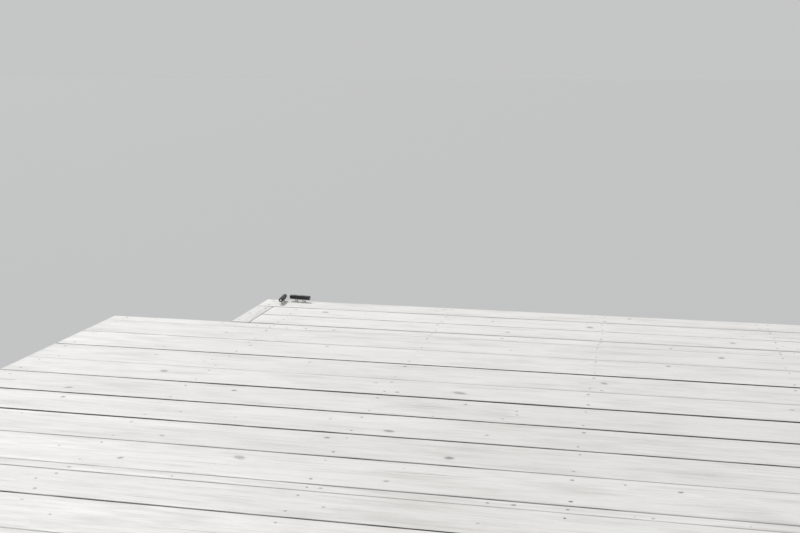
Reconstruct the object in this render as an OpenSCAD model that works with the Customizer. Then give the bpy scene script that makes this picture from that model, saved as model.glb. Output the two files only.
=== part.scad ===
// Timber jetty on round log piles, with a plank deck that steps in to a narrower head.
// Millimetres. +Y points along the jetty to its head, and +X to the right of someone who looks that way.
// The origin is at the level of the pile feet, under the middle of the whole deck.

/* [Deck] */
// Height of the walking surface above the pile feet
deck_top = 1100; // [950:10:1500]
// Width of the main deck, which is the length of its planks
deck_w = 4100; // [3700:10:4600]
// Usual distance from one wide plank's joint to the next
plank_pitch = 240; // [200:5:280]
// Wide planks for each bay
planks_per_bay = 8; // [6:1:10]
// Thickness of every plank
plank_t = 50; // [35:1:65]
// Opening of a tight joint between planks
joint = 2; // [1:0.5:6]
// How much wider the open joints are, where planks have shrunk
shrinkage = 9; // [0:0.5:12]
// Width of the ripped plank that closes the main deck at its head end
end_plank_w = 90; // [60:5:140]
// Width of the ripped strip that fills up the planking between two bays
strip_w = 50; // [40:1:90]
// Open joint along the head side of such a strip
strip_joint = 4.5; // [2:0.5:12]
// Bevel along the top edges of a plank
arris = 3; // [1:0.5:6]

/* [Head] */
// From the last joist line that runs on under the head, out to the side of the head
head_side = 237; // [190:1:300]
// Width of the outermost plank of the head
front_plank_w = 167; // [120:1:200]
// Width of the two planks behind it
head_plank_w = 184.5; // [140:0.5:220]
// Width of the boards that close the plank ends along the head's sides
edge_board_w = 92; // [80:1:120]
// Open joint where the head's planks meet the main deck
step_joint = 12; // [6:1:20]

/* [Joists] */
// Thickness of a joist
joist_t = 75; // [50:1:90]
// Depth of a joist
joist_h = 175; // [120:5:225]
// From the side of the deck to the middle of the outer joist
joist_inset = 75; // [55:5:100]
// How far planks and boards pass over the outer face of a header
nosing = 25; // [5:1:40]
// Saw gap where two lengths of joist meet over a bent
butt_gap = 4; // [2:1:8]
// Length of the plate that ties such a butt joint
plate_l = 700; // [500:10:900]
// From a joist's top and bottom to the edges of the plate
plate_margin = 18; // [10:1:35]
// Thickness of the plate
plate_t = 32; // [20:1:45]

/* [Bents] */
// Bays between the pile bents
bays = 5; // [3:1:6]
// From a header to the flat faces of the piles behind it
header_gap = 25; // [5:5:100]
// Diameter of a log pile at its head
pile_head_d = 220; // [205:5:260]
// Diameter of a log pile at its foot
pile_foot_d = 206; // [195:1:250]
// How far a pile head stands above the cap beams
pile_proud = 40; // [20:5:100]
// Bevel round the top of a pile
pile_bevel = 14; // [5:1:18]
// Thickness of the log that is left between two flat seats
pile_core = 170; // [150:2:180]
// Thickness of a cap beam
cap_t = 75; // [60:1:100]
// Depth of a cap beam
cap_h = 200; // [150:5:250]
// How far a cap beam runs past the outer face of the outer joist
cap_past = 12; // [0:1:30]
// Height of the splay cut under a cap beam's end
splay_rise = 110; // [60:5:140]
// Length of that splay cut
splay_run = 150; // [80:5:250]

/* [Braces] */
// Thickness of a brace
brace_t = 45; // [30:1:60]
// Width of a brace
brace_w = 120; // [80:5:150]
// From a brace's plumb end to the pile's next seat
brace_inset = 5; // [3:1:20]
// Height of a brace's lowest corner above the pile feet
brace_foot = 50; // [20:5:120]
// From a brace's highest corner up to the cap beams
brace_gap = 10; // [5:1:60]
// Clearance round a brace in its seat
seat_clear = 1; // [0.5:0.5:2]

/* [Cleats] */
// Length of a mooring cleat over its horns
cleat_l = 117; // [90:1:140]
// Diameter of the horn bar between its posts
cleat_bar_d = 26; // [22:1:30]
// Diameter near the tips of the horns
cleat_tip_d = 24; // [18:1:26]
// Rounding of the blunt tips' edges
cleat_tip_edge = 4; // [2:1:8]
// Height of the bar's middle above the deck
cleat_rise = 24; // [20:1:34]
// Distance between the two posts
cleat_posts = 44; // [34:1:60]
// Diameter of a post
cleat_post_d = 15; // [12:1:18]
// Diameter of the flange round the foot of a post
cleat_flange_d = 24; // [20:1:30]
// Thickness of that flange
cleat_flange_t = 3; // [2:1:6]
// From the head's front edge to the front cleat's flanges
front_cleat_margin = 10; // [6:1:40]
// From the head's front edge to the tip of the side cleat
side_cleat_margin = 4; // [3:1:30]
// From the side of the head to the side cleat's flanges
side_cleat_inset = 98; // [60:1:110]
// Clear space between the side cleat's flanges and the tip of the front cleat
cleat_space = 14; // [10:1:60]
// Angle by which each cleat is off the square, as they were set by eye
cleat_turn = 7; // [0:1:10]

/* [Hidden] */
$fn = 64;

// Sawn planks differ: how far one is from the usual pitch, and how open its far joint is, from 0 to 1.
// Each row of values repeats along the deck.
PITCH_OFFSET = [0, 10, 5, -25, 5, -5, -5, 7, -35];
OPEN_SHARE = [0, 0.05, 0.95, 0.1, 1, 0.7, 0.4, 0.15, 0.15, 0.4];
// How open the head's two joints are, on the same scale, from the front.
HEAD_OPEN_SHARE = [1 / 3, 2 / 9];
JOIST_LINES = 6;

// Heights, from the deck down
joist_top = deck_top - plank_t;
cap_top = joist_top - joist_h;
cap_bottom = cap_top - cap_h;
pile_top = cap_top + pile_proud;

// Lengths along the jetty. The deck is set out from its head end back to its landward end.
plank_count = bays * planks_per_bay;
strip_pitch = strip_w + strip_joint;
main_l = end_plank_w - start(plank_count) + (bays - 1) * strip_pitch;
front_joint = opening(HEAD_OPEN_SHARE[0]);
inner_joint = opening(HEAD_OPEN_SHARE[1]);
head_l = front_plank_w + front_joint + 2 * head_plank_w + inner_joint + step_joint;
front_y = (main_l + head_l) / 2;
main_end_y = front_y - head_l;
wide_end_y = main_end_y - end_plank_w;
landward_y = -front_y;
end_overhang = nosing + joist_t + header_gap + pile_core / 2;
first_bent_y = main_end_y - end_overhang;
bay = (main_l - 2 * end_overhang) / bays;

// Places across the jetty
joist_pitch = (deck_w - 2 * joist_inset) / (JOIST_LINES - 1);
outer_joist_x = joist_x(JOIST_LINES);
head_w = 2 * (joist_x(JOIST_LINES - 1) + head_side);
pile_out = 2 * joist_pitch;
head_side_x = head_w / 2 - nosing / 2 - joist_t / 2;

// A brace runs past the middle of its piles by this much, and fits between its two end corners.
brace_tail = pile_core / 2 - brace_inset;
brace_rise = cap_bottom - brace_gap - brace_foot;

function wrap(list, i) = list[i % len(list)];

// Where wide plank i starts, measured from the near edge of the ripped end plank, without the strips
function start(i) = i == 0 ? 0 : start(i - 1) - plank_pitch - wrap(PITCH_OFFSET, i - 1);
function strips_before(i) = floor(i / planks_per_bay);
function opening(share) = joint + shrinkage * share;
function far_joint(i) = opening(wrap(OPEN_SHARE, i));

// Edges of wide plank i, towards the head and towards the land
function far_edge(i) = wide_end_y + start(i) - strips_before(i) * strip_pitch - far_joint(i);
function near_edge(i) = wide_end_y + start(i + 1) - strips_before(i) * strip_pitch;

// Far edge of inner head plank i, where plank 0 is the outer one of the two
function head_plank_y(i) = front_y - front_plank_w - front_joint - i * (head_plank_w + inner_joint);

// Bent 1 stands under the head end, and joist line 1 is at the left.
function bent_y(k) = first_bent_y - (k - 1) * bay;
function joist_x(j) = (j - (JOIST_LINES + 1) / 2) * joist_pitch;
function runs_to_head(j) = j > 1 && j < JOIST_LINES;
function splice_bent(j) = floor((bays + 1) / 2) + j % 2;

// Slope of a bar of width w whose opposite corners are a length l and a height h apart
function bar_slope(l, h, w) = (h * l - w * sqrt(h * h + l * l - w * w)) / (l * l - w * w);

BENTS = [1:bays + 1];
LINES = [1:JOIST_LINES];

// A sawn board with bevelled top edges: its length runs along X from x0 to x1, its width from y0 to y1
module board(x0, x1, y0, y1) {
    w = y1 - y0;
    translate([x0, y0, joist_top])
        rotate([90, 0, 90])
            linear_extrude(x1 - x0)
                polygon([
                    [0, 0], [w, 0], [w, plank_t - arris],
                    [w - arris, plank_t], [arris, plank_t], [0, plank_t - arris]
                ]);
}

// A squared timber between two opposite corners
module timber(low, high) {
    translate(low)
        cube(high - low);
}

// Each bay's wide planks, with a strip before them in every bay but the first
module deck_planks(bay_number) {
    first = (bay_number - 1) * planks_per_bay;
    color("gainsboro") {
        for (i = [first:first + planks_per_bay - 1])
            board(-deck_w / 2, deck_w / 2, near_edge(i), far_edge(i));
        if (bay_number > 1)
            translate([0, near_edge(first - 1) - strip_pitch, 0])
                board(-deck_w / 2, deck_w / 2, 0, strip_w);
    }
}

module end_plank() {
    color("gainsboro")
        board(-deck_w / 2, deck_w / 2, main_end_y - end_plank_w, main_end_y);
}

// The outermost plank runs through to both corners, and the two behind it stop at the edge boards.
module head_planks() {
    inner = head_w / 2 - edge_board_w - joint;
    color("gainsboro") {
        board(-head_w / 2, head_w / 2, front_y - front_plank_w, front_y);
        for (i = [0, 1])
            board(-inner, inner, head_plank_y(i) - head_plank_w, head_plank_y(i));
    }
}

module head_edge_boards() {
    color("whitesmoke")
        for (side = [-1, 1])
            translate([side * (head_w / 2 - edge_board_w / 2), head_plank_y(0), 0])
                rotate(-90)
                    board(0, 2 * head_plank_w + inner_joint, -edge_board_w / 2, edge_board_w / 2);
}

// Two-post horn cleat along X. The bar is turned, full between its posts and blunt at its tips.
module horn_cleat() {
    edge_steps = 6;
    edge_x = cleat_tip_d / 2 - cleat_tip_edge;
    edge_y = cleat_l / 2 - cleat_tip_edge;
    tip = [
        for (i = [0:edge_steps])
            let (a = 90 * i / edge_steps)
                [edge_x + cleat_tip_edge * cos(a), edge_y + cleat_tip_edge * sin(a)]
    ];
    full = [[0, 0], [cleat_bar_d / 2, 0], [cleat_bar_d / 2, cleat_posts / 2]];
    color("dimgray") {
        translate([0, 0, cleat_rise])
            rotate([0, 90, 0])
                for (end = [0, 1])
                    mirror([0, 0, end])
                        rotate_extrude()
                            polygon(concat(full, tip, [[0, cleat_l / 2]]));
        for (side = [-1, 1])
            translate([side * cleat_posts / 2, 0, 0]) {
                cylinder(h = cleat_rise, d = cleat_post_d);
                cylinder(h = cleat_flange_t, d = cleat_flange_d);
            }
    }
}

// Both cleats stand at the head's left corner.
side_cleat_x = side_cleat_inset + cleat_flange_d / 2 - head_w / 2;
front_cleat_x = side_cleat_x + cleat_flange_d / 2 + cleat_space + cleat_l / 2;

module front_cleat() {
    translate([front_cleat_x, front_y - front_cleat_margin - cleat_flange_d / 2, deck_top])
        rotate(-cleat_turn)
            horn_cleat();
}

module side_cleat() {
    translate([side_cleat_x, front_y - side_cleat_margin - cleat_l / 2, deck_top])
        rotate(90 + cleat_turn)
            horn_cleat();
}

// A joist line is two lengths that butt over the middle of a bent, so each rests on one of its cap beams.
module joist_line(j) {
    x0 = joist_x(j) - joist_t / 2;
    x1 = joist_x(j) + joist_t / 2;
    y_far = runs_to_head(j) ? front_y - nosing - joist_t : main_end_y - nosing;
    y_near = landward_y + nosing + joist_t;
    y_butt = bent_y(splice_bent(j));
    color("burlywood") {
        timber([x0, y_butt + butt_gap / 2, cap_top], [x1, y_far, joist_top]);
        timber([x0, y_near, cap_top], [x1, y_butt - butt_gap / 2, joist_top]);
    }
}

// Each plate is on the side of its joist that faces the jetty's middle.
module splice_plates() {
    color("tan")
        for (j = LINES)
            translate([
                joist_x(j) - sign(joist_x(j)) * (joist_t + plate_t) / 2,
                bent_y(splice_bent(j)),
                (cap_top + joist_top) / 2
            ])
                cube([plate_t, plate_l, joist_h - 2 * plate_margin], center = true);
}

// These carry the edge boards. They hang from the head header and rest on the first cap beam of bent 1.
module head_side_joists() {
    y_near = bent_y(1) + pile_core / 2;
    y_far = front_y - nosing - joist_t;
    color("burlywood")
        for (side = [-1, 1])
            translate([side * head_side_x, 0, 0])
                timber([-joist_t / 2, y_near, cap_top], [joist_t / 2, y_far, joist_top]);
}

module head_header() {
    x = head_side_x + joist_t / 2;
    y = front_y - nosing;
    color("burlywood")
        timber([-x, y - joist_t, cap_top], [x, y, joist_top]);
}

// Short headers that close the two stepped corners, from the head's side joist to the outer joist
module step_headers() {
    x0 = head_side_x + joist_t / 2;
    x1 = outer_joist_x - joist_t / 2;
    y = main_end_y - nosing;
    color("burlywood")
        for (side = [0, 1])
            mirror([side, 0, 0])
                timber([x0, y - joist_t, cap_top], [x1, y, joist_top]);
}

module landward_header() {
    x = outer_joist_x + joist_t / 2;
    y = landward_y + nosing;
    color("burlywood")
        timber([-x, y, cap_top], [x, y + joist_t, joist_top]);
}

// Twin beams that clasp the piles of a bent and rest on their shoulders, with splayed ends
module cap_beams(k) {
    x = outer_joist_x + joist_t / 2 + cap_past;
    color("peru")
        for (face = [-1, 1])
            translate([0, bent_y(k) + face * (pile_core + cap_t) / 2, cap_bottom])
                rotate([90, 0, 0])
                    linear_extrude(cap_t, center = true)
                        polygon([
                            [-x, cap_h], [-x, splay_rise], [-x + splay_run, 0],
                            [x - splay_run, 0], [x, splay_rise], [x, cap_h]
                        ]);
}

// Outline of a brace with plumb ends, low at pile a and high at pile b, which may lie either way
module brace_outline(a, b, grow = 0) {
    dir = sign(b - a);
    slope = bar_slope(abs(b - a) + 2 * brace_tail, brace_rise, brace_w);
    plumb = brace_w * sqrt(1 + slope * slope);
    side = grow * sqrt(1 + slope * slope);
    low = brace_foot - grow * slope - side;
    high = cap_bottom - brace_gap + grow * slope + side;
    x0 = a - dir * (brace_tail + grow);
    x1 = b + dir * (brace_tail + grow);
    polygon([[x0, low], [x1, high - plumb - 2 * side], [x1, high], [x0, low + plumb + 2 * side]]);
}

// The two halves of a bent rise to the right on its landward face (-1) and to the left on the other (1).
module cross_brace_outlines(face, grow = 0) {
    for (left = [-pile_out, 0])
        if (face < 0)
            brace_outline(left, left + pile_out, grow);
        else
            brace_outline(left + pile_out, left, grow);
}

module cross_braces(k) {
    color("tan")
        for (face = [-1, 1])
            translate([0, bent_y(k) + face * (pile_core + brace_t) / 2, 0])
                rotate([90, 0, 0])
                    linear_extrude(brace_t, center = true)
                        cross_brace_outlines(face);
}

// Braces along the outer faces of the outer piles, in every other bay, drawn with Y along the page
module side_brace_outlines(grow = 0) {
    for (k = [1:2:bays])
        brace_outline(bent_y(k + 1), bent_y(k), grow);
}

module side_braces(side) {
    color("tan")
        translate([side * (pile_out + (pile_core + brace_t) / 2), 0, 0])
            rotate([90, 0, 90])
                linear_extrude(brace_t, center = true)
                    side_brace_outlines();
}

// A log pile with flat seats cut for the cap beams and for each brace that crosses it
module pile(x, k) {
    cut = pile_head_d;
    beside = (pile_core + cut) / 2;
    difference() {
        translate([x, bent_y(k), 0]) {
            cylinder(h = pile_top - pile_bevel, d1 = pile_foot_d, d2 = pile_head_d);
            translate([0, 0, pile_top - pile_bevel])
                cylinder(h = pile_bevel, d1 = pile_head_d, d2 = pile_head_d - 2 * pile_bevel);
        }
        for (face = [-1, 1])
            translate([0, bent_y(k) + face * beside, 0]) {
                translate([x - cut, -cut / 2, cap_bottom])
                    cube([2 * cut, cut, 2 * (pile_top - cap_bottom)]);
                rotate([90, 0, 0])
                    linear_extrude(cut, center = true)
                        cross_brace_outlines(face, seat_clear);
            }
        if (x != 0)
            translate([x + sign(x) * beside, 0, 0])
                rotate([90, 0, 90])
                    linear_extrude(cut, center = true)
                        side_brace_outlines(seat_clear);
    }
}

module piles(k) {
    color("saddlebrown")
        for (row = [-1:1])
            pile(row * pile_out, k);
}

for (k = [1:bays])
    deck_planks(k);
end_plank();
head_planks();
head_edge_boards();
front_cleat();  // front_cleat_left
side_cleat();  // side_cleat_left
for (j = LINES)
    joist_line(j);
head_side_joists();
head_header();
step_headers();
landward_header();
splice_plates();
for (k = BENTS) {
    cap_beams(k);
    piles(k);
    cross_braces(k);
}
side_braces(-1);  // side_braces_left
side_braces(1);  // side_braces_right
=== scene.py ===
import math
import random
from types import SimpleNamespace

import bmesh
import bpy
from mathutils import Matrix, Vector, noise
from mathutils.geometry import delaunay_2d_cdt


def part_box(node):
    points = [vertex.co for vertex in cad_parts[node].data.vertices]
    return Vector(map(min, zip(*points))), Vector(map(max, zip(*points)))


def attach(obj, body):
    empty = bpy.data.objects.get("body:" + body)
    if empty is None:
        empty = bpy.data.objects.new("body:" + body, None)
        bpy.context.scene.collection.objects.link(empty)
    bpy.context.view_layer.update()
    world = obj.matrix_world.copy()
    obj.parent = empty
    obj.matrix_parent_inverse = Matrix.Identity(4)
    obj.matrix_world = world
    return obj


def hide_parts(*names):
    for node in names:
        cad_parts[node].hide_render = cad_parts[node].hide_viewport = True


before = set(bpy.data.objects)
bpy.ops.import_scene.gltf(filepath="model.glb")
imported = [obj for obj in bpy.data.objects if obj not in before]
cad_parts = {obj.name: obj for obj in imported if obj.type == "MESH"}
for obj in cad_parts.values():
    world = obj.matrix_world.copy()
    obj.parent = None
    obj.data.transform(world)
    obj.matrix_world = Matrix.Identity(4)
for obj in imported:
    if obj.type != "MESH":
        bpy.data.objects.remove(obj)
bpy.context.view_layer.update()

# A timber jetty. Metres, in the frame of the CAD model: +Y runs to the head, +Z is up.

BODY = "root"
MM = 0.001
WELD = 0.01 * MM


# Measures taken from the frame

def numbered(prefix):
    """The frame's nodes called prefix_1, prefix_2 and so on."""
    names = [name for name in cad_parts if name.startswith(prefix + "_")]
    return sorted(names, key=lambda name: int(name.rsplit("_", 1)[1]))


def welded(node):
    """A bmesh of a node's solids, with the doubled corners of its flat faces joined."""
    bm = bmesh.new()
    bm.from_mesh(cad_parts[node].data)
    bmesh.ops.remove_doubles(bm, verts=bm.verts, dist=WELD)
    bm.verts.ensure_lookup_table()
    return bm


def corners(verts):
    """The lowest and highest corner of some vertices."""
    low = Vector([min(v.co[i] for v in verts) for i in range(3)])
    high = Vector([max(v.co[i] for v in verts) for i in range(3)])
    return low, high


def solids(bm):
    """The vertices of each separate solid, those nearest the head first and then from left to right."""
    seen, found = set(), []
    for first in bm.verts:
        if first in seen:
            continue
        seen.add(first)
        group, waiting = [], [first]
        while waiting:
            vert = waiting.pop()
            group.append(vert)
            for edge in vert.link_edges:
                other = edge.other_vert(vert)
                if other not in seen:
                    seen.add(other)
                    waiting.append(other)
        found.append(group)

    def place(group):
        low, high = corners(group)
        return (-round(low.y + high.y, 4), round(low.x + high.x, 4), round(low.z + high.z, 4))

    return sorted(found, key=place)


def node_solids(node, read):
    """What read gives for the vertices of each solid of a node."""
    bm = welded(node)
    found = [read(group) for group in solids(bm)]
    bm.free()
    return found


def solid_boxes(node):
    """The corners of each solid of a node."""
    return node_solids(node, corners)


def middle_of(low, high):
    """The x and y of the middle of a box."""
    return (low.x + high.x) / 2, (low.y + high.y) / 2


BAYS = numbered("deck_planks_bay")
JOISTS = numbered("joist_line")
CAPS = numbered("cap_beams_bent")
PILES = numbered("piles_bent")
HEADERS = ["head_side_joists", "head_header", "step_headers", "landward_header"]
BRACES = numbered("cross_braces_bent") + ["side_braces_left", "side_braces_right"]
deck_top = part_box(BAYS[0])[1].z
head_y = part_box("head_planks")[1].y
joist_x = [middle_of(*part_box(node))[0] for node in JOISTS]
side_joist_x = [middle_of(*box)[0] for box in solid_boxes("head_side_joists")]
DECK = BAYS + ["end_plank", "head_planks", "head_edge_boards"]
plank_boxes = [box for node in DECK for box in solid_boxes(node)]
WIDEST_JOINT = 20 * MM


# Camera: a standing view over the deck, fitted to the plank joints

PHOTO_W = 800
FOCAL_PX = 1111
PITCH_DOWN = math.radians(10.2645)
YAW_LEFT = math.radians(12.5945)
ROLL = math.radians(0.0716)
CAMERA_X = 0.583
CAMERA_BACK = 5.649
CAMERA_UP = 1.26
SENSOR_MM = 36
VIEW_END = 500


def make_camera():
    data = bpy.data.cameras.new("camera")
    data.sensor_width = SENSOR_MM
    data.lens = SENSOR_MM * FOCAL_PX / PHOTO_W
    data.clip_end = VIEW_END
    camera = bpy.data.objects.new("camera", data)
    turn = Matrix.Rotation(YAW_LEFT, 4, "Z")
    tilt = Matrix.Rotation(math.pi / 2 - PITCH_DOWN, 4, "X")
    roll = Matrix.Rotation(ROLL, 4, "Z")
    place = Matrix.Translation((CAMERA_X, head_y - CAMERA_BACK, deck_top + CAMERA_UP))
    camera.matrix_world = place @ turn @ tilt @ roll
    bpy.context.scene.collection.objects.link(camera)
    bpy.context.scene.camera = camera


# Light, floor and surroundings

FLOOR_COLOUR = (0.560, 0.562, 0.565)
FLOOR_SIZE = 400
FLOOR_ROUGHNESS = 0.9
FLOOR_SPECULAR = 0.1
SKY_STRENGTH = 1.0
SUN_STRENGTH = 1.73
SUN_SOFTNESS = math.radians(14)
SUN_HEIGHT = math.radians(47)
SUN_LEFT = math.radians(38)


def make_light():
    """An even sky, and a soft sun beyond the head and to the left, as the shadows in the view say."""
    scene = bpy.context.scene
    scene.view_settings.view_transform = "Standard"
    world = bpy.data.worlds.new("studio")
    world.use_nodes = True
    background = world.node_tree.nodes["Background"]
    background.inputs["Color"].default_value = (*FLOOR_COLOUR, 1)
    background.inputs["Strength"].default_value = SKY_STRENGTH
    scene.world = world

    data = bpy.data.lights.new("sun", "SUN")
    data.energy = SUN_STRENGTH
    data.angle = SUN_SOFTNESS
    sun = bpy.data.objects.new("sun", data)
    away = Vector((-math.sin(SUN_LEFT), math.cos(SUN_LEFT), math.tan(SUN_HEIGHT)))
    sun.rotation_euler = away.to_track_quat("Z", "Y").to_euler()
    scene.collection.objects.link(sun)


def make_floor():
    bm = bmesh.new()
    bmesh.ops.create_grid(bm, x_segments=2, y_segments=2, size=FLOOR_SIZE / 2)
    mesh = bpy.data.meshes.new("floor")
    bm.to_mesh(mesh)
    bm.free()
    floor = bpy.data.objects.new("floor", mesh)
    material = bpy.data.materials.new("floor")
    material.use_nodes = True
    shader = material.node_tree.nodes["Principled BSDF"]
    shader.inputs["Base Color"].default_value = (*FLOOR_COLOUR, 1)
    shader.inputs["Roughness"].default_value = FLOOR_ROUGHNESS
    shader.inputs["Specular IOR Level"].default_value = FLOOR_SPECULAR
    mesh.materials.append(material)
    bpy.context.scene.collection.objects.link(floor)


# Node materials

class Paint:
    """A material under work. Each call adds a node or two, and gives the output that is used of them."""

    def __init__(self, name, specular=0.5, metallic=0.0):
        self.material = bpy.data.materials.new(name)
        self.material.use_nodes = True
        self.tree = self.material.node_tree
        self.shader = self.tree.nodes["Principled BSDF"]
        self.shader.inputs["Specular IOR Level"].default_value = specular
        self.shader.inputs["Metallic"].default_value = metallic

    def put(self, socket, value):
        """Links a socket to another one, or sets it to a value."""
        if isinstance(value, bpy.types.NodeSocket):
            self.tree.links.new(value, socket)
        elif value is not None:
            if isinstance(value, tuple) and socket.type == "RGBA":
                value = (*value, 1)
            socket.default_value = value

    def put_all(self, sockets, values):
        for socket, value in zip(sockets, values):
            self.put(socket, value)

    def node(self, kind, **settings):
        node = self.tree.nodes.new("ShaderNode" + kind)
        for key, value in settings.items():
            setattr(node, key, value)
        return node

    def attribute(self, name, output="Fac"):
        return self.node("Attribute", attribute_name=name).outputs[output]

    def geometry(self, name):
        return self.node("NewGeometry").outputs[name]

    def math(self, operation, *values):
        node = self.node("Math", operation=operation)
        self.put_all(node.inputs, values)
        return node.outputs[0]

    def add(self, a, b):
        return self.math("ADD", a, b)

    def times(self, a, b):
        return self.math("MULTIPLY", a, b)

    def shaken(self, value, noise, by):
        """A value that a noise from 0 to 1 moves up or down, by half of by at most."""
        return self.add(value, self.math("MULTIPLY_ADD", noise, by, -by / 2))

    def split(self, vector):
        node = self.node("SeparateXYZ")
        self.put(node.inputs[0], vector)
        return node.outputs

    def join(self, *values):
        node = self.node("CombineXYZ")
        self.put_all(node.inputs, values)
        return node.outputs[0]

    def noise(self, vector, scale, detail, roughness):
        """A noise from 0 to 1. scale is one number, or three for the directions of the vector."""
        if isinstance(scale, tuple):
            stretched = self.node("VectorMath", operation="MULTIPLY")
            self.put_all(stretched.inputs, (vector, scale))
            vector, scale = stretched.outputs[0], 1.0
        node = self.node("TexNoise")
        self.put(node.inputs["Vector"], vector)
        for key, value in (("Scale", scale), ("Detail", detail), ("Roughness", roughness)):
            node.inputs[key].default_value = value
        return node.outputs["Fac"]

    def spread(self, value, low, high, to_low=0.0, to_high=1.0):
        """A value from low to high becomes to_low to to_high, eased at both ends, and holds beyond them."""
        node = self.node("MapRange", interpolation_type="SMOOTHSTEP")
        self.put_all(node.inputs, (value, low, high, to_low, to_high))
        return node.outputs[0]

    def mix(self, share, a, b, blend="MIX"):
        node = self.node("Mix", data_type="RGBA", blend_type=blend)
        self.put(node.inputs[0], share)
        self.put(node.inputs[6], a)
        self.put(node.inputs[7], b)
        return node.outputs[2]

    def tint(self, share, colour, factors):
        """A colour with a share of its channels multiplied by factors."""
        return self.mix(share, colour, factors, "MULTIPLY")

    def bump(self, height, distance, strength=1.0, normal=None):
        node = self.node("Bump")
        node.inputs["Strength"].default_value = strength
        node.inputs["Distance"].default_value = distance
        self.put(node.inputs["Height"], height)
        self.put(node.inputs["Normal"], normal)
        return node.outputs[0]

    def finish(self, colour, normal, roughness):
        self.put(self.shader.inputs["Base Color"], colour)
        self.put(self.shader.inputs["Normal"], normal)
        self.put(self.shader.inputs["Roughness"], roughness)
        return self.material


RING_WIDTH = 4.6 * MM
# The first dark colour is that of dirt and rust, and in the joints between planks it also paints shade.
DIRT_AND_SHADE_COLOUR = (0.052, 0.045, 0.038)
STREAK_TINT = (0.80, 0.79, 0.77)
PATCH_TINT = (0.74, 0.73, 0.71)
SPECK_TINT = (0.66, 0.65, 0.63)
BROAD_TINT = (0.945, 0.94, 0.93)
KNOT_HALO = (0.74, 0.73, 0.715)
KNOT_CORE = (0.46, 0.445, 0.42)
KNOT_RIM = (0.46, 0.435, 0.40)
WET_COLOUR = (0.035, 0.034, 0.029)
SLIMY_COLOUR = (0.090, 0.092, 0.072)
BLACK_IRON = (0.022, 0.022, 0.024)
BARE_IRON = (0.16, 0.16, 0.165)
RUSTY_IRON = (0.075, 0.045, 0.030)
RUSTY_STEEL = (0.13, 0.070, 0.040)


def shade(colour, factor):
    return tuple(factor * c for c in colour)


def wood_noises(p, grain):
    """The noises that the looks of wood are made of. All but one are drawn out along the fibres."""
    return SimpleNamespace(
        slow=p.noise(grain, (0.9, 6.0, 6.0), 2.0, 0.5),
        fine=p.noise(grain, (7.0, 40.0, 40.0), 3.0, 0.6),
        fibre=p.noise(grain, (9.0, 620.0, 620.0), 2.0, 0.6),
        streak=p.noise(grain, (3.6, 85.0, 85.0), 5.0, 0.65),
        patch=p.noise(grain, (2.8, 13.0, 13.0), 4.0, 0.60),
        speck=p.noise(grain, (60.0, 190.0, 190.0), 2.0, 0.6),
        broad=p.noise(p.geometry("Position"), 1.3, 3.0, 0.6),
    )


def late_wood(p, grain, noises):
    """The dark part of each ring, from 0 to 1. The rings wander slowly along the log."""
    _, across, deep = p.split(grain)
    radius = p.math("SQRT", p.add(p.times(across, across), p.times(deep, deep)))
    radius = p.shaken(p.shaken(radius, noises.slow, 0.022), noises.fine, 0.0030)
    # Good years and bad years
    years = p.noise(p.join(p.times(radius, 55.0), 3.7, 1.3), 1.0, 1.0, 0.5)
    ring = p.math("FRACT", p.add(p.math("DIVIDE", radius, RING_WIDTH), p.times(years, 2.4)))
    # Late wood darkens slowly across a ring, and ends sharply.
    return p.times(p.spread(ring, 0.25, 0.90), p.spread(ring, 1.0, 0.93))


def weathered(p, noises, colour, weather):
    """A colour, darker in streaks, patches, specks and fibres."""
    for share, factors in (
        (p.spread(noises.streak, 0.44, 0.70, 0.0, weather), STREAK_TINT),
        (p.spread(noises.patch, 0.44, 0.78, 0.0, weather), PATCH_TINT),
        (p.spread(noises.speck, 0.64, 0.80, 0.0, weather), SPECK_TINT),
        (p.spread(noises.fibre, 0.35, 0.75, 0.0, 0.5), STREAK_TINT),
        (p.spread(noises.broad, 0.38, 0.68), BROAD_TINT),
    ):
        colour = p.tint(share, colour, factors)
    return colour


def knotted(p, noises, colour):
    """A colour with knots: darker, with tight rings and a broken bark line, and dark wood round them."""
    ragged = p.shaken(p.shaken(p.attribute("knot"), noises.fine, 0.16), noises.streak, 0.10)
    knot_rings = p.spread(p.math("SINE", p.times(ragged, 95.0)), -1.0, 1.0, 0.72, 1.0)
    firm = p.spread(noises.slow, 0.36, 0.60, 0.45, 1.0)
    core = p.times(p.spread(ragged, 0.60, 0.72), p.times(knot_rings, firm))
    rim = p.times(p.spread(ragged, 0.61, 0.66), p.spread(ragged, 0.71, 0.67))
    colour = p.tint(p.spread(ragged, 0.28, 0.68, 0.0, 0.75), colour, KNOT_HALO)
    colour = p.tint(core, colour, KNOT_CORE)
    colour = p.tint(p.times(rim, p.spread(noises.fibre, 0.30, 0.60, 0.0, 0.8)), colour, KNOT_RIM)
    return p.tint(p.spread(ragged, 0.84, 1.0, 0.0, 0.8), colour, KNOT_CORE)


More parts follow.
